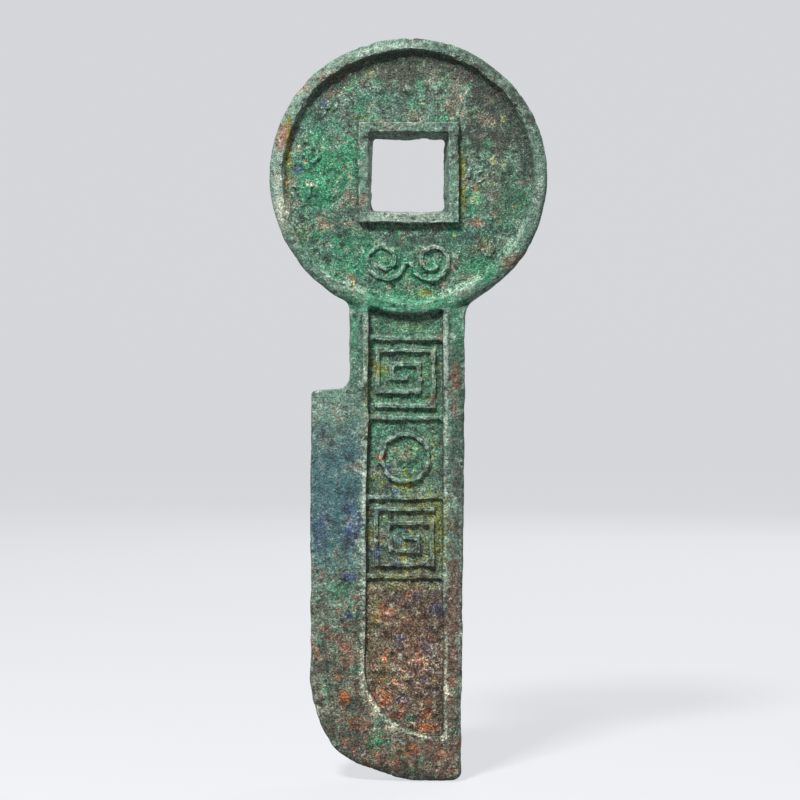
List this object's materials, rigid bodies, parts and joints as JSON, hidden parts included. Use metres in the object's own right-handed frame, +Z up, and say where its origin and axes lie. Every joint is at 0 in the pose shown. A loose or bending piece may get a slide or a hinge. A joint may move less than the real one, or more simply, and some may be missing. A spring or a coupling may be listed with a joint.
{
  "type": "knife money",
  "caption": "Cast bronze knife-shaped coin: round rimmed head with a square string hole, short neck and blunt blade with a sunk panel, under a green and brown patina.",
  "frame": {"origin": "on the floor under the middle of the coin's bounding box, at the foot of the blade and in the middle of the thickness", "axes": "+Z up along the knife from the foot of the blade to the head, +Y through the thickness towards the back, +X towards the spine; the cutting edge is at -X and the decorated face looks towards -Y"},
  "size_m": [0.0282, 0.0038, 0.075],
  "materials": {
    "head_patina": "bronze under a matt, granular green patina",
    "blade_patina": "bronze under a matt blue-green patina",
    "tip_patina": "bronze under a matt red-brown and green patina",
    "relief_patina": "bronze under a matt, worn green patina",
    "malachite_crust": "rough mineral crust"
  },
  "bodies": {
    "root": {"outer_rim": "head_patina", "head_field": "head_patina", "hole_rim": "head_patina", "left_hollow": "head_patina", "right_hollow": "head_patina", "neck_rim": "blade_patina", "spine_rim": "blade_patina", "cutting_edge": "blade_patina", "blade_tip": "tip_patina", "blade_field": "tip_patina", "panel_border": "blade_patina", "crossbars": "relief_patina", "upper_fret": "relief_patina", "lower_fret": "relief_patina", "ringed_boss": "relief_patina", "cloud_scroll": "relief_patina", "pellets": "relief_patina", "crust_lumps": "malachite_crust"}
  },
  "joints": []
}
